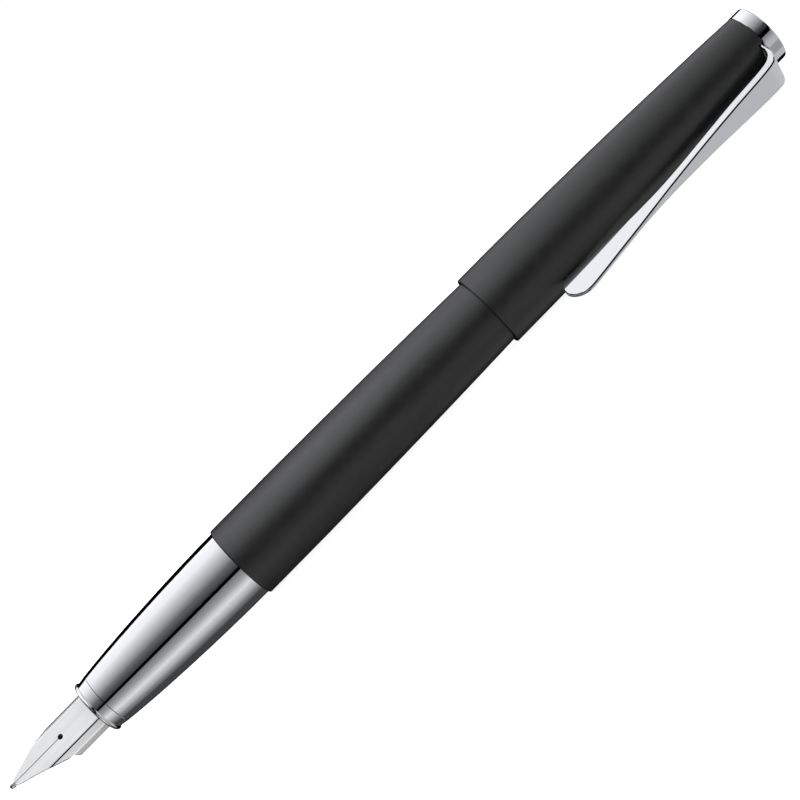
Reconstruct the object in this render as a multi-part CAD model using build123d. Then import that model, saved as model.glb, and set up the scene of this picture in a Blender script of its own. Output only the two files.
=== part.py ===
"""Fountain pen with its cap pushed on the back of the barrel, lying on its side.

The X axis is the pen's own axis: the nib points along -X and the cap's end along +X.
The origin is on that axis, where the barrel's straight stretch begins. +Z is up.
All sizes are in millimetres.
"""
import os
from math import asin, atan, degrees, hypot

from build123d import *

# ---------------------------------------------------------------- driving sizes
barrel_radius = 6.35          # straight stretch of the barrel behind its mouth
barrel_straight = 12.0        # length of that stretch
barrel_mouth_x = -0.25        # front face of the barrel
barrel_tail_x = 78.2          # back end of the barrel's tube
barrel_tail_radius = 4.66
barrel_wall = 0.6

cap_lip_x = 51.9              # open end of the cap, where it sits on the barrel
cap_lip_radius = 6.36
cap_end_x = 108.1             # closed end of the cap's tube
cap_wall = 0.4
finial_end_x = 110.35
finial_radius = 4.93

grip_front_x = -30.4          # rim that the nib comes out of
grip_seam_x = -28.1           # joint between the front ring and the grip
grip_back_x = -0.3
grip_back_radius = 6.0
front_bore_radius = 3.55      # opening for the nib and the feed

core_step_x = -12.0           # the core widens here
core_front_radius = 4.0
core_back_radius = 4.55
core_end_x = 11.5
converter_pocket_x = -9.0
converter_pocket_radius = 4.0
feed_post_bore = 2.95
feed_stop_x = -11.5
nipple_radius = 1.35
nipple_end_x = -2.5
nipple_bore = 0.6

thread_root = 4.40            # male thread behind the grip
thread_crest = 4.75
insert_crest = 4.88           # female thread inside the barrel
insert_root = 5.20
thread_pitch = 1.25

nib_roll = 44.4               # turn of the nib's top face about the axis, from straight up
nib_tip_x = -47.3
nib_back_x = -24.0
nib_sheet = 0.25
nib_top = 1.75                # height of the flat top over the axis
nib_flat_half = 2.38
nib_half = 3.30
nib_shoulder = 0.82           # where the side walls begin
nib_wall_foot = -0.87
nib_bend = 0.5                # outer radius of the folds
nib_wall_front_x = -36.5
breather_x = -36.8
breather_radius = 0.43
slit_width = 0.12
tipping_radius = 0.47
tipping_half_length = 0.6

clip_tip_reach = 11.06        # greatest distance of the clip from the axis
clip_tip_half = 0.27          # half of the clip's thickness at its tip
clip_root_half = 2.96
clip_root_x = 107.75          # back face of the clip's root
clip_root_sheet = 0.45
clip_pivot_reach = 4.6        # distance from the axis to the pivot bead on the clip's foot
clip_pivot_radius = 0.32
slot_half = 3.12
slot_front_x = 106.95

converter_front_x = -8.0
converter_tube_end_x = 40.0
converter_end_x = 61.5
converter_radius = 3.6
converter_bore = 3.05

fit_gap = 0.05                # radial room of the push fits and guides


# ---------------------------------------------------------------- shared helpers
def turned(*line):
    """Solid of revolution under an open line of edges, which runs towards +X."""
    first = line[0] @ 0
    last = line[-1] @ 1
    closing = Polyline((last.X, last.Y), (last.X, 0), (first.X, 0), (first.X, first.Y))
    edges = [edge for piece in (*line, closing) for edge in piece.edges()]
    return revolve(make_face(edges), Axis.X)


def rod(x_low, x_high, radius):
    """Plain cylinder on the pen's axis."""
    length = x_high - x_low
    return Pos((x_low + x_high) / 2, 0, 0) * Rot(0, 90, 0) * Cylinder(radius, length)


def sleeve(x_low, x_high, outer, inner):
    """Plain tube on the pen's axis."""
    return rod(x_low, x_high, outer) - rod(x_low - 1, x_high + 1, inner)


def block(x_range, y_half, z_range):
    """Box from its limits, symmetric in Y."""
    x_low, x_high = x_range
    z_low, z_high = z_range
    middle = Pos((x_low + x_high) / 2, 0, (z_low + z_high) / 2)
    return middle * Box(x_high - x_low, 2 * y_half, z_high - z_low)


def side_prism(points, half):
    """Prism from an outline in X and Z, of the given half width in Y."""
    outline = make_face(Plane.XZ * Polyline(*points, close=True))
    return extrude(outline, half, both=True)


def plan_prism(edges, half):
    """Prism from a closed outline in X and Y, of the given half height in Z."""
    return extrude(make_face(edges), half, both=True)


def mirrored_plan(half_line, half):
    """Prism from the +Y side of an outline that is symmetric about the X axis."""
    far_side = [mirror(edge, Plane.XZ) for edge in half_line]
    first = half_line[0] @ 0
    last = half_line[-1] @ 1
    ends = []
    for corner in (first, last):
        if corner.Y > 0.001:
            ends.append(Line((corner.X, corner.Y), (corner.X, -corner.Y)))
    return plan_prism([*half_line, *far_side, *ends], half)


def thread(root, crest, x_low, x_high, half_base=0.40, half_crest=0.12):
    """Helical ridge on the pen's axis from the root radius to the crest radius."""
    path = Helix(thread_pitch, x_high - x_low, root)
    start = Plane(path @ 0, x_dir=(1, 0, 0), z_dir=path % 0)
    rise = crest - root
    sink = -0.05 if rise > 0 else 0.05
    ridge = Polyline(
        (sink, -half_base), (rise, -half_crest), (rise, half_crest), (sink, half_base), close=True
    )
    ridge_body = sweep(start * make_face(ridge), path, is_frenet=True)
    return Pos(x_low, 0, 0) * Rot(0, 90, 0) * ridge_body


# ---------------------------------------------------------------- outlines of the body
barrel_rear_points = [
    (barrel_straight, barrel_radius),
    (21.6, 6.27),
    (30.4, 6.16),
    (40.8, 5.98),
    (51.2, 5.745),
    (60.0, 5.46),
    (68.0, 5.12),
    (barrel_tail_x, barrel_tail_radius),
]
cap_points = [
    (cap_lip_x + 0.2, cap_lip_radius),
    (58.7, 6.34),
    (64.6, 6.28),
    (72.1, 6.145),
    (79.5, 5.985),
    (88.5, 5.71),
    (97.5, 5.39),
    (106.5, 4.99),
    (cap_end_x, 4.89),
]
grip_points = [
    (grip_seam_x + 0.06, 4.63),
    (-24.2, 5.0),
    (-18.3, 5.41),
    (-10.9, 5.765),
    (-5.0, 5.94),
    (grip_back_x, grip_back_radius),
]


def inset(points, wall):
    """The same outline, one wall thickness nearer to the axis."""
    return [(x, radius - wall) for x, radius in points]


# ---------------------------------------------------------------- grip section
def make_grip_shell():
    seam_edge = Line((grip_seam_x + 0.02, grip_points[0][1] - 0.14), grip_points[0])
    outside = turned(seam_edge, Spline(*grip_points))
    front_room = rod(grip_seam_x - 1, core_step_x, core_front_radius)
    back_room = rod(core_step_x, grip_back_x + 1, core_back_radius)
    return outside - front_room - back_room


def make_grip_front_ring():
    """Lip of the grip: a rounded bead, a small hollow behind it, then the seam."""
    face = Line((grip_front_x, front_bore_radius), (grip_front_x, 4.15))
    bead = ThreePointArc((grip_front_x, 4.15), (-30.08, 4.60), (-29.76, 4.37))
    flank = Line((-29.76, 4.37), (grip_seam_x - 0.08, 4.62))
    seam_edge = Line((grip_seam_x - 0.08, 4.62), (grip_seam_x - 0.02, 4.48))
    return turned(face, bead, flank, seam_edge) - rod(-32, -27, front_bore_radius)


def make_section_core():
    """Plastic core: nib pocket, feed socket, ink nipple and the thread for the barrel."""
    body = rod(grip_seam_x, core_step_x, core_front_radius)
    body += rod(core_step_x, grip_back_x, core_back_radius)
    body += rod(grip_back_x, core_end_x, thread_root)
    body -= rod(grip_seam_x - 1, nib_back_x + 1.5, front_bore_radius)
    body -= rod(nib_back_x, feed_stop_x, feed_post_bore)
    body -= rod(converter_pocket_x, core_end_x + 1, converter_pocket_radius)
    body += rod(converter_pocket_x - 0.5, nipple_end_x, nipple_radius)
    body -= rod(feed_stop_x - 1, nipple_end_x + 1, nipple_bore)
    return body + thread(thread_root, thread_crest, 2.2, core_end_x - 0.7)


def make_thread_o_ring():
    """Rubber ring at the foot of the thread, which keeps the barrel from working loose."""
    thickness = 0.42
    ring = Torus(thread_root + thickness + 0.01, thickness)
    return Pos(0.4, 0, 0) * Rot(0, 90, 0) * ring


# ---------------------------------------------------------------- feed and nib
def feed_nose():
    """Front of the feed: it narrows and rises to the slit behind the point."""
    top = nib_top - nib_sheet - 0.03
    stations = [
        (-36.9, [(2.3, top), (1.9, -0.3), (0.9, -2.5)]),
        (-40.3, [(1.7, top), (1.2, 0.0), (0.55, -1.4)]),
        (-42.9, [(1.0, top), (0.75, 0.75), (0.4, 0.2)]),
        (-44.8, [(0.35, top), (0.3, 1.25), (0.2, 1.15)]),
    ]
    sections = []
    for x, side in stations:
        outline = side + [(-y, z) for y, z in reversed(side)]
        plane = Plane(origin=(x, 0, 0), x_dir=(0, 1, 0), z_dir=(1, 0, 0))
        sections.append(plane * make_face(Polyline(*outline, close=True)))
    return loft(sections, ruled=True)


def make_feed():
    """Ink feed: a combed bar under the nib with a round post behind it."""
    back_x = -23.0
    nose_x = -36.9
    top = nib_top - nib_sheet - 0.03
    half = nib_half - nib_sheet - fit_gap
    section = [
        (-half, 0.60), (-2.24, top), (2.24, top), (half, 0.60), (half, -0.95),
        (2.35, -2.15), (1.0, -3.05), (-1.0, -3.05), (-2.35, -2.15), (-half, -0.95),
    ]
    bar = Pos(nose_x, 0, 0) * extrude(Plane.YZ * make_face(Polyline(*section, close=True)), back_x - nose_x)
    keel = [(back_x, 3), (back_x, -3.2), (-33.4, -3.2), (nose_x, -2.54), (nose_x, 3)]
    body = (bar & side_prism(keel, 4)) + feed_nose()
    fin_pitch = 0.8
    for step in range(14):
        groove_x = -42.6 + step * fin_pitch
        groove = block((groove_x, groove_x + 0.38), 4, (-4, -0.35))
        body -= groove - block((-44, -31), 0.5, (-5, 5))
    post = rod(back_x, feed_stop_x - 0.4, feed_post_bore - fit_gap)
    channel = block((-46, feed_stop_x), 0.14, (0.95, 4))
    return Rot(nib_roll, 0, 0) * (body + post - channel)


def nib_plan():
    """Top outline of the nib: straight sides, then a taper to the point."""
    sides = Line((nib_back_x, nib_half), (-37.3, nib_half))
    taper = Spline(
        (-37.3, nib_half), (-38.9, 2.87), (-40.65, 2.40), (-42.4, 1.81), (-44.2, 1.23), (-45.55, 0.80),
        (-46.3, 0.44),
    )
    return [sides, taper]


def nib_tip_plane():
    return nib_tip_x + 1.05


def make_nib():
    """Folded sheet: flat top, bevels and side walls, with a breather hole and a slit."""
    lean = nib_sheet * 0.414
    outer = [
        (-nib_half, nib_wall_foot), (-nib_half, nib_shoulder), (-nib_flat_half, nib_top),
        (nib_flat_half, nib_top), (nib_half, nib_shoulder), (nib_half, nib_wall_foot),
    ]
    inner = [
        (nib_half - nib_sheet, nib_wall_foot), (nib_half - nib_sheet, nib_shoulder - lean),
        (nib_flat_half - lean, nib_top - nib_sheet), (lean - nib_flat_half, nib_top - nib_sheet),
        (nib_sheet - nib_half, nib_shoulder - lean), (nib_sheet - nib_half, nib_wall_foot),
    ]
    outer_line = FilletPolyline(*outer, radius=nib_bend)
    inner_line = FilletPolyline(*inner, radius=nib_bend - nib_sheet)
    feet = [Line(outer[-1], inner[0]), Line(inner[-1], outer[0])]
    fold = make_face([*outer_line.edges(), *inner_line.edges(), *feet])
    tip_x = nib_tip_plane()
    channel = Pos(tip_x, 0, 0) * extrude(Plane.YZ * fold, nib_back_x - tip_x)
    nib = channel & mirrored_plan(nib_plan(), 5)
    wall_front = [(nib_wall_front_x, -2), (-37.15, 0.74), (-48, 0.74), (-48, -2)]
    nib -= side_prism(wall_front, 5)
    nib -= Pos(breather_x, 0, nib_top) * Cylinder(breather_radius, 3)
    nib -= block((tip_x - 1, breather_x), slit_width / 2, (-1, 3))
    return Rot(nib_roll, 0, 0) * nib


def make_nib_tipping():
    """Hard, slightly long ball at the point, split in two by the slit."""
    stretch = tipping_half_length / tipping_radius
    ball = scale(Sphere(tipping_radius), by=(stretch, 1, 1))
    ball = Pos(nib_tip_x + tipping_half_length, 0, nib_top - 0.19) * ball
    ball -= block((nib_tip_plane(), nib_tip_plane() + 2), 1, (0, 3))
    ball -= block((-48, -45), slit_width / 2, (0, 3))
    return Rot(nib_roll, 0, 0) * ball


# ---------------------------------------------------------------- barrel
def make_barrel_shell():
    mouth_edge = 0.25
    mouth = RadiusArc(
        (barrel_mouth_x, barrel_radius - mouth_edge), (barrel_mouth_x + mouth_edge, barrel_radius), mouth_edge
    )
    straight = Line((0, barrel_radius), (barrel_straight, barrel_radius))
    outside = turned(mouth, straight, Spline(*barrel_rear_points))
    bore_radius = barrel_radius - barrel_wall
    bore_line = Line((barrel_mouth_x, bore_radius), (barrel_straight, bore_radius))
    inside = turned(bore_line, Spline(*inset(barrel_rear_points, barrel_wall)))
    return outside - inside


def make_barrel_thread_insert():
    front_x = 1.6
    back_x = 11.4
    tube = sleeve(front_x, back_x, barrel_radius - barrel_wall, insert_root)
    return tube + thread(insert_root, insert_crest, front_x + 0.5, back_x - 1.1)


def make_barrel_tail_plug():
    """Bright end disc of the barrel, hidden in the cap while the cap is on the back."""
    end_x = barrel_tail_x + 1.1
    corner = 0.3
    disc_radius = barrel_tail_radius - 0.2
    edge = RadiusArc((end_x - corner, disc_radius), (end_x, disc_radius - corner), corner)
    disc = turned(Line((barrel_tail_x, disc_radius), (end_x - corner, disc_radius)), edge)
    spigot = rod(barrel_tail_x - 3.6, barrel_tail_x, barrel_tail_radius - barrel_wall - 0.02)
    cup = rod(barrel_tail_x - 4, barrel_tail_x - 0.4, barrel_tail_radius - barrel_wall - 0.6)
    return disc + spigot - cup


# ---------------------------------------------------------------- cap
clip_roll = 90 + degrees(
    asin((cap_lip_radius - 0.02) / hypot(clip_tip_reach, clip_tip_half)) - atan(clip_tip_half / clip_tip_reach)
)


def cap_room(wall):
    """Space inside the cap's tube, from the lip to the inner face of its end wall."""
    bore_end_x = 60.0
    bore_radius = cap_lip_radius - wall + 0.09
    deep_points = [(64.0, 6.29 - wall), *inset(cap_points[3:-1], wall)]
    straight = Line((cap_lip_x, bore_radius), (bore_end_x, bore_radius))
    shoulder = Line((bore_end_x, bore_radius), deep_points[0])
    return turned(straight, shoulder, Spline(*deep_points))


def make_cap_shell():
    lip_edge = 0.2
    lip = RadiusArc((cap_lip_x, cap_lip_radius - lip_edge), (cap_lip_x + lip_edge, cap_lip_radius), lip_edge)
    outside = turned(lip, Spline(*cap_points))
    room = cap_room(cap_wall) & rod(cap_lip_x - 1, 104.2, 7)
    end_room = rod(104.9, cap_end_x + 1, 4.38)
    screw_hole = rod(103, 106, 1.60)
    slot = Rot(clip_roll, 0, 0) * block((slot_front_x, cap_end_x + 1), slot_half, (2.5, 6))
    return outside - room - end_room - screw_hole - slot


def make_cap_liner():
    """Plastic inner cap: its front grips the barrel's tail, its back closes over the nib."""
    front_x = 67.0
    step_x = 80.6
    back_x = 102.6
    body = cap_room(cap_wall + 0.03) & rod(front_x, back_x, 7)
    lead_in = turned(Line((front_x - 1, 5.65), (front_x + 1.2, 5.24)))
    return body - lead_in - rod(front_x, step_x, 5.24) - rod(front_x, back_x - 0.8, 4.40)


def make_finial():
    """Bright end disc with a plug inside the cap, a pocket for the clip and a screwed stud."""
    corner = 0.3
    rim = RadiusArc((finial_end_x - corner, finial_radius), (finial_end_x, finial_radius - corner), corner)
    foot = Line((cap_end_x, finial_radius - 0.06), (cap_end_x + 0.06, finial_radius))
    side = Line((cap_end_x + 0.06, finial_radius), (finial_end_x - corner, finial_radius))
    disc = turned(foot, side, rim)
    plug = rod(105.7, cap_end_x, 4.35)
    stud = rod(102.95, 105.7, 1.50)
    pocket = Rot(clip_roll, 0, 0) * block((106.35, cap_end_x), slot_half, (2.75, 6))
    return disc + plug + stud - pocket


def make_finial_nut():
    nut_plane = Plane(origin=(103.0, 0, 0), x_dir=(0, 1, 0), z_dir=(1, 0, 0))
    hexagon = nut_plane * RegularPolygon(2.6, 6)
    return extrude(hexagon, 1.15) - rod(102, 105, 1.52)


def make_clip_spring():
    """Bowed leaf in the finial's pocket, which presses on the foot of the clip."""
    back_x = 106.38
    low, middle, high = 2.85, 3.35, 3.85
    sheet = 0.2
    pieces = [
        ThreePointArc((back_x, low), (back_x + 0.57, middle), (back_x, high)),
        Line((back_x, high), (back_x, high - sheet)),
        ThreePointArc((back_x, high - sheet), (back_x + 0.39, middle), (back_x, low + sheet)),
        Line((back_x, low + sheet), (back_x, low)),
    ]
    bow = make_face([edge for piece in pieces for edge in (Plane.XZ * piece).edges()])
    return Rot(clip_roll, 0, 0) * extrude(bow, 1.9, both=True)


# ---------------------------------------------------------------- clip
def make_clip():
    """Propeller clip: wide and flat at its root, a tall thin blade at its tip."""
    root_front_x = clip_root_x - clip_root_sheet
    back_line = Spline(
        (105.1, 7.93), (97.7, 8.14), (91.8, 8.32), (85.9, 8.64), (80.0, 9.10), (72.5, 9.98),
        (65.6, 10.93),
    )
    nose = Spline(
        (65.6, 10.93), (64.1, 11.06), (62.7, 10.20), (61.8, 8.70), (62.1, 7.10), (63.5, 6.34),
        tangents=((-1, 0.137), (1, 0)),
    )
    belly = Spline(
        (63.5, 6.34), (66.2, 6.50), (72.8, 7.10), (78.0, 7.38), (84.0, 7.48), (91.8, 7.19),
        (97.7, 6.94), (104.6, 6.80), tangents=((1, 0), (1, -0.02)),
    )
    inner_bend = Spline((104.6, 6.80), (106.6, 6.12), (root_front_x, 4.9), tangents=((1, -0.02), (0, -1)))
    tongue = Polyline((root_front_x, 4.9), (root_front_x, 3.0), (clip_root_x, 3.0), (clip_root_x, 5.6))
    outer_bend = Spline((clip_root_x, 5.6), (107.0, 7.25), (105.1, 7.93), tangents=((0, 1), (-1, 0.03)))
    outline = [back_line, nose, belly, inner_bend, tongue, outer_bend]
    edges = [edge for piece in outline for edge in (Plane.XZ * piece).edges()]
    side = extrude(make_face(edges), 4, both=True)
    half_width = Spline(
        (66.0, clip_tip_half), (75.6, 0.39), (80.0, 0.63), (85.9, 1.09), (91.8, 1.60),
        (97.7, 2.12), (105.1, 2.70), (108.5, clip_root_half), tangents=((1, 0), (1, 0.03)),
    )
    blade_side = Line((60.0, clip_tip_half), (66.0, clip_tip_half))
    blank = side & mirrored_plan([blade_side, half_width], 15)
    pivot_x = clip_root_x - clip_root_sheet / 2
    bead = Pos(pivot_x, 0, clip_pivot_reach) * Rot(90, 0, 0) * Cylinder(clip_pivot_radius, 5.6)
    return Rot(clip_roll, 0, 0) * (blank + bead)


# ---------------------------------------------------------------- converter
def make_converter_socket():
    """Mouth of the converter, which pushes onto the nipple."""
    flange = rod(converter_front_x, converter_front_x + 3.5, converter_radius)
    spigot = rod(converter_front_x + 3.5, -1.2, converter_bore)
    bore = rod(converter_front_x - 1, nipple_end_x + 0.3, nipple_radius + fit_gap)
    outlet = rod(-3, 0, 0.9)
    return flange + spigot - bore - outlet


def make_converter_tube():
    return sleeve(converter_front_x + 3.5, converter_tube_end_x, converter_radius, converter_bore)


def make_converter_sleeve():
    """Metal band over the back of the clear tube."""
    back_x = converter_tube_end_x + 1.6
    band = sleeve(32.0, back_x, converter_radius + 0.2, converter_radius)
    lip = sleeve(converter_tube_end_x, back_x, converter_radius, 2.4)
    return band + lip


def make_converter_bush():
    """Guide for the piston rod: its bore has two flats, which keep the rod from turning."""
    body = rod(34.5, converter_tube_end_x, converter_bore)
    rod_room = rod(33, 42, 1.35) & block((33, 42), 1.05, (-2, 2))
    return body - rod_room


def make_converter_knob():
    """Ribbed filling knob, hollow for the piston rod."""
    front_x = converter_tube_end_x + 1.8
    knob = rod(front_x, converter_end_x, converter_radius)
    ribs = 24
    for step in range(ribs):
        groove = Pos(converter_end_x - 7.5, converter_radius + 0.12, 0) * Rot(0, 90, 0) * Cylinder(0.27, 12)
        knob -= Rot(step * 360 / ribs, 0, 0) * groove
    neck = rod(converter_tube_end_x + 0.1, front_x, 2.3)
    return knob + neck - rod(converter_tube_end_x, converter_end_x - 1.0, 1.45)


def make_piston_rod():
    """Flat-sided rod; the rings are the crests of its screw, inside the knob."""
    body = rod(3.5, converter_tube_end_x + 0.5, 1.1)
    for step in range(27):
        body += rod(4.8 + step * 1.3, 5.4 + step * 1.3, 1.3)
    return body & block((3, 42), 1.0, (-2, 2))


def make_piston_seal():
    """Rubber piston with two lips."""
    seal = rod(0.2, 3.5, 2.55)
    for lip_x in (0.5, 2.5):
        seal += rod(lip_x, lip_x + 0.7, converter_bore - 0.03)
    return seal


makers = {
    "grip_shell": make_grip_shell,
    "grip_front_ring": make_grip_front_ring,
    "section_core": make_section_core,
    "thread_o_ring": make_thread_o_ring,
    "feed": make_feed,
    "nib": make_nib,
    "nib_tipping": make_nib_tipping,
    "barrel_shell": make_barrel_shell,
    "barrel_thread_insert": make_barrel_thread_insert,
    "barrel_tail_plug": make_barrel_tail_plug,
    "cap_shell": make_cap_shell,
    "cap_liner": make_cap_liner,
    "finial": make_finial,
    "finial_nut": make_finial_nut,
    "clip_spring": make_clip_spring,
    "clip": make_clip,
    "converter_socket": make_converter_socket,
    "converter_tube": make_converter_tube,
    "converter_sleeve": make_converter_sleeve,
    "converter_bush": make_converter_bush,
    "converter_knob": make_converter_knob,
    "piston_rod": make_piston_rod,
    "piston_seal": make_piston_seal,
}

os.makedirs("parts", exist_ok=True)
for node, maker in makers.items():
    export_step(maker(), f"parts/{node}.step")
print("clip roll", round(clip_roll, 2), "degrees")
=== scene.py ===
"""Looks of the fountain pen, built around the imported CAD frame. Sizes are in metres."""
import math

import bmesh
import bpy
from mathutils import Matrix, Vector


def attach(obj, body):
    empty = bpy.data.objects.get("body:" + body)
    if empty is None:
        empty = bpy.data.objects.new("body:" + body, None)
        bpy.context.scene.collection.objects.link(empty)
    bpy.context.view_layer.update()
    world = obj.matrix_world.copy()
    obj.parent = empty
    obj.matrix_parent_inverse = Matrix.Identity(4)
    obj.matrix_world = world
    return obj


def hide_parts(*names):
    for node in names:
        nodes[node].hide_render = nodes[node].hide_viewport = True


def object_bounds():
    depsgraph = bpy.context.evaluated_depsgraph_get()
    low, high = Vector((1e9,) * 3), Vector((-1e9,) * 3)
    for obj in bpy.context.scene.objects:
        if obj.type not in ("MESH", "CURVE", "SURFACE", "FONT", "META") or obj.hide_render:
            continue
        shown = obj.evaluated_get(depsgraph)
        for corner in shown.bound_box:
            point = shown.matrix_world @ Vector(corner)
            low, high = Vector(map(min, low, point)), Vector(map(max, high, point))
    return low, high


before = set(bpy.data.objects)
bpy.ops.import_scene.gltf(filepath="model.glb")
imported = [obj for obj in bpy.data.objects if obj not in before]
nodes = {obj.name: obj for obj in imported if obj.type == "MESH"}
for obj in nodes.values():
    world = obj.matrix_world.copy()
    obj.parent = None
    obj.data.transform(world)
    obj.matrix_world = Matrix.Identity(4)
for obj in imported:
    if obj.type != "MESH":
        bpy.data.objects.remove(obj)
cad_low, cad_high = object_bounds()
scene = bpy.context.scene


# ---------------------------------------------------------------- stage and camera
def make_camera():
    target = Vector((0.03341, 0, 0))
    distance = 0.2699
    elevation = math.radians(17.3)
    swing = math.radians(1.1)
    roll = math.radians(45.43)
    side = Vector((0, -math.cos(elevation), math.sin(elevation)))
    back = side * math.cos(swing) + Vector((-math.sin(swing), 0, 0))
    along = Vector((1, 0, 0))
    along = (along - back * along.dot(back)).normalized()
    across = back.cross(along)
    right = along * math.cos(roll) - across * math.sin(roll)
    up = along * math.sin(roll) + across * math.cos(roll)
    data = bpy.data.cameras.new("camera")
    data.lens = 81.9
    data.sensor_width = 36
    data.clip_start = 0.01
    data.clip_end = 20
    camera = bpy.data.objects.new("camera", data)
    turn = Matrix((right, up, back)).transposed().to_4x4()
    camera.matrix_world = Matrix.Translation(target + back * distance) @ turn
    scene.collection.objects.link(camera)
    scene.camera = camera


def plain_mesh(name, verts, faces):
    mesh = bpy.data.meshes.new(name)
    mesh.from_pydata(verts, [], faces)
    mesh.update()
    obj = bpy.data.objects.new(name, mesh)
    scene.collection.objects.link(obj)
    return obj


def new_material(name):
    material = bpy.data.materials.new(name)
    material.use_nodes = True
    tree = material.node_tree
    tree.nodes.clear()
    return material, tree.nodes, tree.links


def make_floor():
    half = 3.0
    gap = 0.00001
    z = cad_low.z - gap
    corners = [(-half, -half, z), (half, -half, z), (half, half, z), (-half, half, z)]
    floor = plain_mesh("floor", corners, [(0, 1, 2, 3)])
    material, made, links = new_material("floor")
    out = made.new("ShaderNodeOutputMaterial")
    diffuse = made.new("ShaderNodeBsdfDiffuse")
    diffuse.inputs["Color"].default_value = (0.9, 0.9, 0.9, 1)
    glow = made.new("ShaderNodeEmission")
    glow.inputs["Strength"].default_value = 0.85
    both = made.new("ShaderNodeAddShader")
    links.new(diffuse.outputs[0], both.inputs[0])
    links.new(glow.outputs[0], both.inputs[1])
    links.new(both.outputs[0], out.inputs["Surface"])
    floor.data.materials.append(material)
    floor.visible_glossy = False


def make_world():
    world = bpy.data.worlds.new("world")
    world.use_nodes = True
    world.node_tree.nodes["Background"].inputs["Color"].default_value = (1, 1, 1, 1)
    world.node_tree.nodes["Background"].inputs["Strength"].default_value = 1.0
    scene.world = world


# Soft cards and black flags round the pen, as (angle about its axis, light) stops.
# Angle 0 is level towards the camera's side, 90 is straight up.
# Grip: a faint fill below, a low strip light, a black flag, and a wide softbox overhead.
grip_cards = [
    (-140, 0), (-135, 0.06), (-95, 0.06), (-75, 0.25), (-40, 0.85), (-18, 0.4), (3, 0.2),
    (4, 0), (12, 0), (14, 0.05), (35, 0.15), (100, 1.05), (145, 1.2), (147, 0),
]
# Cap: two low cards with a duller gap between them, a wider flag, and the softbox.
cap_cards = [
    (-112, 0), (-110, 0.55), (-80, 0.55), (-72, 0.35), (-42, 0.35), (-36, 0.55), (-20, 0.5), (3, 0.2),
    (4, 0), (16, 0), (35, 0.07), (115, 1.15), (155, 1.2), (158, 0),
]
# Lacquer: a strong softbox overhead and a weak card in front.
lacquer_cards = [
    (-60, 0), (-15, 0.25), (5, 0.12), (30, 0.12), (55, 4.3), (108, 4.3), (124, 0.4), (163, 0.05),
]
card_tint = (0.985, 0.995, 1.02)
open_cards = [(3, 0.6), (4, 0), (38, 0), (46, 0.6)]

tent_radius = 0.5
tent_ends = (-0.9, 1.1)
tent_sides = 96
# Which cards stand where along the pen: red for the grip, green for the cap, blue for the open
# end past the finial, and black for the lacquer.
zone_ends = (-0.6, 0.8)
zone_stops = [
    (-0.035, (1, 0, 0)), (0.0, (0, 0, 0)), (0.04, (0, 0, 0)), (0.06, (0, 0.95, 0)),
    (0.15, (0, 0.95, 0)), (0.22, (0, 1, 0)), (0.31, (0, 1, 0)), (0.36, (0, 1, 1)),
    (0.40, (0, 0, 1)),
]
# The tent fades to black before the nib's end.
fade_ends = (-0.75, -0.62)


def math_node(made, links, operation, *values):
    """Math node; each value is a number or another node's output."""
    node = made.new("ShaderNodeMath")
    node.operation = operation
    for socket, value in zip(node.inputs, values):
        if isinstance(value, (int, float)):
            socket.default_value = value
        else:
            links.new(value, socket)
    return node.outputs[0]


def share_of(made, links, value, low, high, to_low=0.0, to_high=1.0):
    """Where a value lies between low and high, as a share or on another range."""
    node = made.new("ShaderNodeMapRange")
    node.inputs["From Min"].default_value = low
    node.inputs["From Max"].default_value = high
    node.inputs["To Min"].default_value = to_low
    node.inputs["To Max"].default_value = to_high
    links.new(value, node.inputs["Value"])
    return node.outputs[0]


def mix_colours(made, links, share, first, second, blend="MIX"):
    """Colour mix; first and second are colours or other nodes' outputs."""
    node = made.new("ShaderNodeMix")
    node.data_type = "RGBA"
    node.blend_type = blend
    links.new(share, node.inputs["Factor"])
    for name, value in (("A", first), ("B", second)):
        if isinstance(value, tuple):
            node.inputs[name].default_value = (*value, 1)
        else:
            links.new(value, node.inputs[name])
    return node.outputs["Result"]


def colour_ramp(made, links, value, stops):
    """Colour ramp through (place from 0 to 1, colour) stops."""
    node = made.new("ShaderNodeValToRGB")
    elements = node.color_ramp.elements
    while len(elements) > 1:
        elements.remove(elements[-1])
    for index, (place, colour) in enumerate(stops):
        element = elements[0] if index == 0 else elements.new(place)
        element.position = place
        element.color = (*colour, 1)
    links.new(value, node.inputs[0])
    return node.outputs[0]


def cards_ramp(made, links, turn, cards):
    """Light of a set of cards, by the angle about the pen's axis as a share of a whole turn."""
    stops = [((angle + 180) / 360, tuple(light * tint for tint in card_tint)) for angle, light in cards]
    return colour_ramp(made, links, turn, stops)


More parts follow.
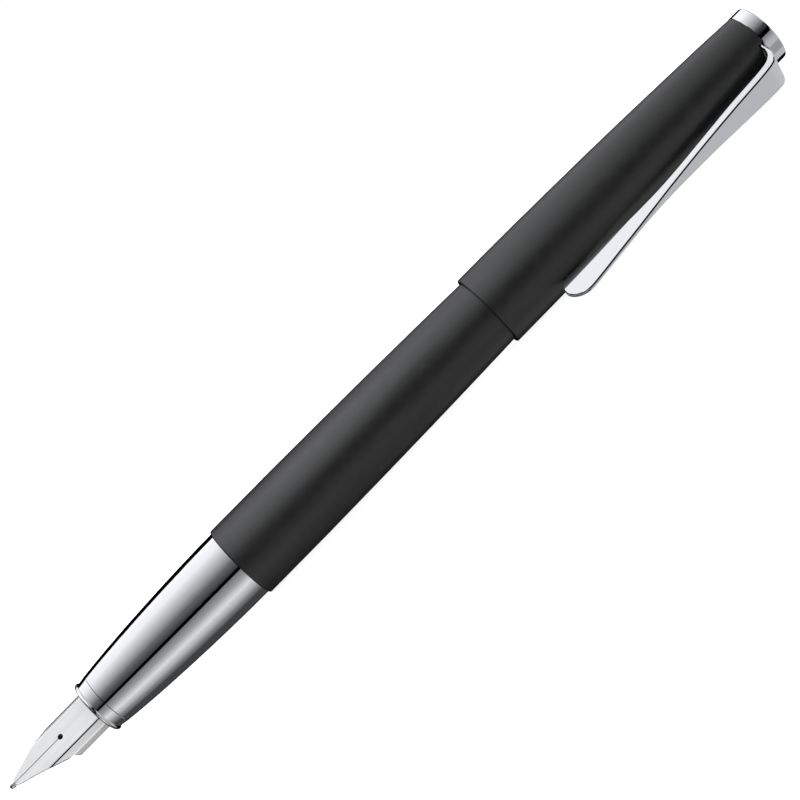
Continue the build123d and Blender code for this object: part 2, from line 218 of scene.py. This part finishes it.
def make_tent():
    """Light tent round the pen's axis, seen only in reflections."""
    rings = []
    for x in tent_ends:
        for step in range(tent_sides):
            angle = 2 * math.pi * step / tent_sides
            rings.append((x, tent_radius * math.cos(angle), tent_radius * math.sin(angle)))
    faces = []
    for step in range(tent_sides):
        after = (step + 1) % tent_sides
        faces.append((step, after, tent_sides + after, tent_sides + step))
    faces += [tuple(range(tent_sides)), tuple(range(tent_sides, 2 * tent_sides))]
    tent = plain_mesh("tent", rings, faces)
    material, made, links = new_material("tent")
    place = made.new("ShaderNodeTexCoord")
    split = made.new("ShaderNodeSeparateXYZ")
    links.new(place.outputs["Object"], split.inputs[0])
    toward = math_node(made, links, "MULTIPLY", split.outputs["Y"], -1)
    angle = math_node(made, links, "ARCTAN2", split.outputs["Z"], toward)
    turn = share_of(made, links, angle, -math.pi, math.pi)
    along = share_of(made, links, split.outputs["X"], *zone_ends)
    span = zone_ends[1] - zone_ends[0]
    zones = colour_ramp(made, links, along, [((x - zone_ends[0]) / span, c) for x, c in zone_stops])
    weights = made.new("ShaderNodeSeparateColor")
    links.new(zones, weights.inputs[0])
    light = cards_ramp(made, links, turn, lacquer_cards)
    for channel, cards in (("Red", grip_cards), ("Green", cap_cards), ("Blue", open_cards)):
        other = cards_ramp(made, links, turn, cards)
        light = mix_colours(made, links, weights.outputs[channel], light, other)
    glow = made.new("ShaderNodeEmission")
    links.new(light, glow.inputs["Color"])
    links.new(share_of(made, links, split.outputs["X"], *fade_ends), glow.inputs["Strength"])
    out = made.new("ShaderNodeOutputMaterial")
    links.new(glow.outputs[0], out.inputs["Surface"])
    tent.data.materials.append(material)
    tent.visible_camera = False
    tent.visible_diffuse = False
    tent.visible_shadow = False
    tent.visible_transmission = False


# ---------------------------------------------------------------- materials
def noise(made, links, scale, detail=3.0):
    """Noise in the pen's own coordinates; scale is cycles a metre along X, Y and Z."""
    place = made.new("ShaderNodeTexCoord")
    stretch = made.new("ShaderNodeMapping")
    stretch.inputs["Scale"].default_value = scale
    links.new(place.outputs["Object"], stretch.inputs["Vector"])
    node = made.new("ShaderNodeTexNoise")
    node.inputs["Scale"].default_value = 1.0
    node.inputs["Detail"].default_value = detail
    links.new(stretch.outputs[0], node.inputs["Vector"])
    return node.outputs["Fac"]


def finish_material(name, dark, light, rough, metallic=0.0, patch=(400, 400, 400),
                    grain=(6000, 6000, 6000), bump=0.05, depth=0.00001, edge=0.0):
    """Principled material: patches of colour, uneven roughness and a fine grain in its bump."""
    material, made, links = new_material(name)
    out = made.new("ShaderNodeOutputMaterial")
    shader = made.new("ShaderNodeBsdfPrincipled")
    shader.inputs["Metallic"].default_value = metallic
    links.new(shader.outputs[0], out.inputs["Surface"])
    patches = noise(made, links, patch)
    fine = noise(made, links, grain, 2.0)
    colour = mix_colours(made, links, share_of(made, links, patches, 0.3, 0.7), dark, light)
    links.new(colour, shader.inputs["Base Color"])
    both = math_node(made, links, "ADD", patches, fine)
    links.new(share_of(made, links, both, 0.7, 1.3, *rough), shader.inputs["Roughness"])
    relief = made.new("ShaderNodeBump")
    relief.inputs["Strength"].default_value = bump
    relief.inputs["Distance"].default_value = depth
    links.new(fine, relief.inputs["Height"])
    if edge:
        rounded = made.new("ShaderNodeBevel")
        rounded.samples = 4
        rounded.inputs["Radius"].default_value = edge
        links.new(rounded.outputs[0], relief.inputs["Normal"])
    links.new(relief.outputs[0], shader.inputs["Normal"])
    return material, shader


# Turn of the nib's flat top about the axis, and the places and half widths of the painted shade lines
# along its folds.
nib_roll = math.radians(44.4)
nib_fold_shade_lines = [(-0.0024, 0.00009), (0.0024, 0.00004)]
nib_fold_height = 0.0011
# Slope of the face normal along the pen past which a cut edge gets painted shade.
cut_slope = 0.12


def darken(material, shader, mask_of, level):
    """Darkens the base colour to a share of itself where the mask is 1."""
    made, links = material.node_tree.nodes, material.node_tree.links
    base = shader.inputs["Base Color"]
    source = base.links[0].from_socket
    mask = mask_of(made, links)
    links.new(mix_colours(made, links, mask, source, (level, level, level), "MULTIPLY"), base)


def fold_shade_mask(made, links):
    """Painted shade: fine dark lines where the nib's flat top folds into its bevels."""
    place = made.new("ShaderNodeTexCoord")
    turned = made.new("ShaderNodeMapping")
    turned.inputs["Rotation"].default_value = (-nib_roll, 0, 0)
    links.new(place.outputs["Object"], turned.inputs["Vector"])
    split = made.new("ShaderNodeSeparateXYZ")
    links.new(turned.outputs[0], split.inputs[0])
    lines = 0.0
    for side, half_width in nib_fold_shade_lines:
        off = math_node(made, links, "SUBTRACT", split.outputs["Y"], side)
        near = math_node(made, links, "ABSOLUTE", off)
        line = math_node(made, links, "LESS_THAN", near, half_width)
        lines = math_node(made, links, "MAXIMUM", line, lines)
    above = math_node(made, links, "GREATER_THAN", split.outputs["Z"], nib_fold_height)
    return math_node(made, links, "MULTIPLY", lines, above)


def cut_edge_shade_mask(made, links):
    """Painted shade: the sheet's cut edges along the nib's taper, which face forward, made darker."""
    place = made.new("ShaderNodeTexCoord")
    split = made.new("ShaderNodeSeparateXYZ")
    links.new(place.outputs["Normal"], split.inputs[0])
    forward = math_node(made, links, "ABSOLUTE", split.outputs["X"])
    return math_node(made, links, "GREATER_THAN", forward, cut_slope)


def make_materials():
    kinds = {}

    def add(slot, *values, **more):
        material, shader = finish_material(slot, *values, **more)
        kinds[slot] = material
        return shader

    add("chrome", (0.81, 0.82, 0.835), (0.83, 0.835, 0.845), (0.02, 0.045), 1.0,
        patch=(150, 150, 150), grain=(900, 7000, 7000), bump=0.004)
    shader = add("black_lacquer", (0.003, 0.003, 0.0031), (0.005, 0.005, 0.0052), (0.40, 0.46),
                 patch=(700, 700, 700), grain=(9000, 9000, 9000), bump=0.10)
    shader.inputs["Specular IOR Level"].default_value = 0.8
    shader = add("nib_steel", (0.90, 0.90, 0.895), (0.97, 0.97, 0.965), (0.17, 0.25), 0.72,
        patch=(120, 900, 900), grain=(350, 14000, 14000), bump=0.10, depth=0.00001, edge=0.00006)
    # Painted shade on the nib: dark lines along its folds.
    darken(kinds["nib_steel"], shader, fold_shade_mask, 0.03)
    # Painted shade on the nib: darker cut edges along its taper.
    darken(kinds["nib_steel"], shader, cut_edge_shade_mask, 0.04)
    add("tipping_alloy", (0.92, 0.92, 0.91), (0.98, 0.98, 0.97), (0.10, 0.2), 1.0,
        patch=(2000, 2000, 2000), grain=(16000, 16000, 16000), bump=0.12)
    add("black_plastic", (0.010, 0.010, 0.011), (0.017, 0.017, 0.018), (0.36, 0.48),
        patch=(500, 500, 500), grain=(7000, 7000, 7000), bump=0.12)
    add("feed_plastic", (0.008, 0.008, 0.009), (0.015, 0.015, 0.016), (0.28, 0.40),
        patch=(600, 600, 600), grain=(9000, 9000, 9000), bump=0.10)
    add("insert_metal", (0.66, 0.45, 0.19), (0.80, 0.58, 0.28), (0.20, 0.36), 1.0,
        patch=(500, 300, 300), grain=(15000, 900, 900), bump=0.18)
    add("spring_steel", (0.50, 0.50, 0.50), (0.64, 0.64, 0.63), (0.24, 0.38), 1.0,
        patch=(800, 800, 800), grain=(12000, 1500, 1500), bump=0.15)
    add("seal_rubber", (0.011, 0.011, 0.012), (0.022, 0.022, 0.023), (0.68, 0.86),
        patch=(900, 900, 900), grain=(12000, 12000, 12000), bump=0.35)
    add("converter_plastic", (0.012, 0.012, 0.013), (0.020, 0.020, 0.021), (0.22, 0.32),
        patch=(500, 500, 500), grain=(8000, 8000, 8000), bump=0.08)
    add("knob_plastic", (0.42, 0.012, 0.014), (0.50, 0.022, 0.020), (0.30, 0.42),
        patch=(600, 600, 600), grain=(8000, 8000, 8000), bump=0.10)
    add("converter_band", (0.68, 0.68, 0.68), (0.78, 0.78, 0.78), (0.10, 0.18), 1.0,
        patch=(400, 400, 400), grain=(14000, 1200, 1200), bump=0.10)
    shader = add("clear_plastic", (0.70, 0.74, 0.76), (0.78, 0.81, 0.82), (0.02, 0.07),
                 patch=(300, 300, 300), grain=(5000, 5000, 5000), bump=0.03)
    shader.inputs["Transmission Weight"].default_value = 1.0
    shader.inputs["IOR"].default_value = 1.49
    return kinds


slots = {
    "chrome": ("grip_shell", "grip_front_ring", "barrel_tail_plug", "finial"),
    "black_lacquer": ("barrel_shell", "cap_shell"),
    "nib_steel": ("nib",),
    "tipping_alloy": ("nib_tipping",),
    "black_plastic": ("section_core", "cap_liner"),
    "feed_plastic": ("feed",),
    "insert_metal": ("barrel_thread_insert",),
    "spring_steel": ("clip_spring", "finial_nut"),
    "seal_rubber": ("thread_o_ring", "piston_seal"),
    "clear_plastic": ("converter_tube",),
    "converter_plastic": ("converter_socket", "converter_bush", "piston_rod"),
    "knob_plastic": ("converter_knob",),
    "converter_band": ("converter_sleeve",),
}


# ---------------------------------------------------------------- clip
# Lines of the clip in millimetres, (along the pen, distance from its axis), before its turn.
clip_roll = math.radians(123.57)
clip_outer_nose = [(61.35, 8.60), (61.95, 9.85), (63.0, 10.62), (64.3, 10.94), (65.6, 10.87)]
clip_inner_nose = [(61.35, 8.60), (61.70, 7.40), (62.8, 6.50), (64.4, 6.36), (66.2, 6.50)]
clip_back_line = [
    (65.6, 10.87), (72.5, 9.98), (80.0, 9.10), (85.9, 8.64), (91.8, 8.32), (97.7, 8.14), (105.1, 7.93),
]
clip_belly = [
    (66.2, 6.50), (72.8, 7.10), (78.0, 7.38), (84.0, 7.48), (91.8, 7.19), (97.7, 6.94), (104.6, 6.80),
]
clip_outer_bend = [(105.1, 7.93), (107.0, 7.25), (107.75, 5.6)]
clip_inner_bend = [(104.6, 6.80), (106.6, 6.12), (107.3, 4.9)]
clip_outer_foot = [(107.75, 5.6), (107.75, 3.0)]
clip_inner_foot = [(107.3, 4.9), (107.3, 3.0)]
# Edge of the sheet, a narrow flat with a rounding beside it: (depth under the face, cut off the width).
clip_edge = 0.22
clip_inner_edge = 0.06
edge_profile = [(1.0, 0), (0.919, 0.03), (0.287, 0.60), (0.10, 0.70), (0.025, 0.78), (0, 0.86)]
clip_half_width = [
    (60.0, 0.36), (68.0, 0.36), (75.6, 0.44), (80.0, 0.63), (85.9, 1.09), (91.8, 1.60), (97.7, 2.12),
    (105.1, 2.70), (108.5, 2.96),
]


def smooth_line(points, before, after, count):
    """Points at even steps of a Catmull-Rom line; before and after are its end neighbours."""
    knots = [Vector(before), *[Vector(p) for p in points], Vector(after)]
    spans = len(points) - 1
    line = []
    for step in range(count + 1):
        place = spans * step / count
        span = min(int(place), spans - 1)
        t = place - span
        a, b, c, d = knots[span:span + 4]
        line.append(
            0.5 * (2 * b + (c - a) * t + (2 * a - 5 * b + 4 * c - d) * t * t
                   + (3 * b - a - 3 * c + d) * t * t * t)
        )
    return line


def width_at(x):
    """Half of the clip's width at a place along the pen."""
    for (x_low, low), (x_high, high) in zip(clip_half_width, clip_half_width[1:]):
        if x <= x_high:
            t = (x - x_low) / (x_high - x_low)
            return low + (high - low) * t
    return clip_half_width[-1][1]


def softened(values, passes):
    """Values averaged with their neighbours, with both ends kept."""
    for _ in range(passes):
        inner = [(a + 2 * b + c) / 4 for a, b, c in zip(values, values[1:], values[2:])]
        values = [values[0], *inner, values[-1]]
    return values


def clip_lines():
    """Outer and inner line of the clip's sheet, from nose to foot, with as many points each."""
    outer = smooth_line(clip_outer_nose, (61.95, 7.4), (68.0, 10.60), 24)
    outer += smooth_line(clip_back_line, (58.7, 11.6), (107.0, 7.25), 72)[1:]
    outer += smooth_line(clip_outer_bend, (97.7, 8.14), (107.75, 4.4), 18)[1:]
    outer += smooth_line(clip_outer_foot, (107.75, 7.0), (107.75, 1.0), 4)[1:]
    inner = smooth_line(clip_inner_nose, (61.70, 9.8), (68.0, 6.68), 24)
    inner += smooth_line(clip_belly, (59.6, 5.9), (106.6, 6.12), 72)[1:]
    inner += smooth_line(clip_inner_bend, (97.7, 6.94), (107.3, 3.9), 18)[1:]
    inner += smooth_line(clip_inner_foot, (107.3, 6.0), (107.3, 1.0), 4)[1:]
    return outer, inner


def rim_arcs(line, sign):
    """Points across the sheet at each place of a line, with both rims cut to the edge profile."""
    widths = softened([width_at(p.x) for p in line], 6)
    arcs = []
    for k, point in enumerate(line):
        normal = Vector((-1, 0))
        if k:
            tangent = (line[min(k + 1, len(line) - 1)] - line[k - 1]).normalized()
            normal = Vector((-tangent.y, tangent.x)) * sign
        edge = min(clip_edge, 0.9 * widths[k])
        if sign < 0:
            edge = max(clip_inner_edge, edge * (1 - k / 12))
        arc = []
        for inset, cut in edge_profile:
            spot = point - normal * inset * edge
            arc.append((spot.x, widths[k] - cut * edge, spot.y))
        arcs.append(arc + [(x, -y, z) for x, y, z in reversed(arc)])
    return arcs


def make_clip(material):
    """Clip of bent sheet, as rings round its outer and inner line."""
    outer, inner = clip_lines()
    rings = [top + below[::-1] for top, below in zip(rim_arcs(outer, 1), rim_arcs(inner, -1))]
    cos, sin = math.cos(clip_roll), math.sin(clip_roll)
    verts = []
    for ring in rings:
        for x, y, z in ring:
            verts.append((x / 1000, (y * cos - z * sin) / 1000, (y * sin + z * cos) / 1000))
    around = len(rings[0])
    faces = []
    for k in range(len(rings) - 1):
        for j in range(around):
            a, b = k * around + j, k * around + (j + 1) % around
            faces.append((a, b, b + around, a + around))
    faces.append(tuple(range((len(rings) - 1) * around, len(rings) * around)))
    clip = plain_mesh("clip_polished", verts, faces)
    for polygon in clip.data.polygons:
        polygon.use_smooth = True
    # The corners on either side of each rim's flat stay sharp.
    last = around - 1
    corners = set()
    for step in (0, 1, 2):
        corners |= {step, last // 2 - step, last // 2 + 1 + step, last - step}
    for edge in clip.data.edges:
        first, second = edge.vertices
        edge.use_edge_sharp = abs(first - second) == around and first % around in corners
    weld(clip)
    even = clip.modifiers.new("even", "WEIGHTED_NORMAL")
    even.mode = "FACE_AREA"
    even.keep_sharp = True
    clip.data.materials.append(material)
    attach(clip, "clip")
    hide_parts("clip")


def weld(obj):
    """Joins points that fall together and turns all faces outward."""
    mesh = bmesh.new()
    mesh.from_mesh(obj.data)
    bmesh.ops.remove_doubles(mesh, verts=mesh.verts, dist=0.000002)
    bmesh.ops.recalc_face_normals(mesh, faces=mesh.faces)
    mesh.to_mesh(obj.data)
    mesh.free()


def paint(node, material):
    mesh = nodes[node].data
    mesh.materials.clear()
    mesh.materials.append(material)


make_camera()
make_floor()
make_world()
make_tent()
scene.view_settings.view_transform = "Standard"

materials = make_materials()
for slot_name, members in slots.items():
    for member in members:
        paint(member, materials[slot_name])
make_clip(materials["chrome"])
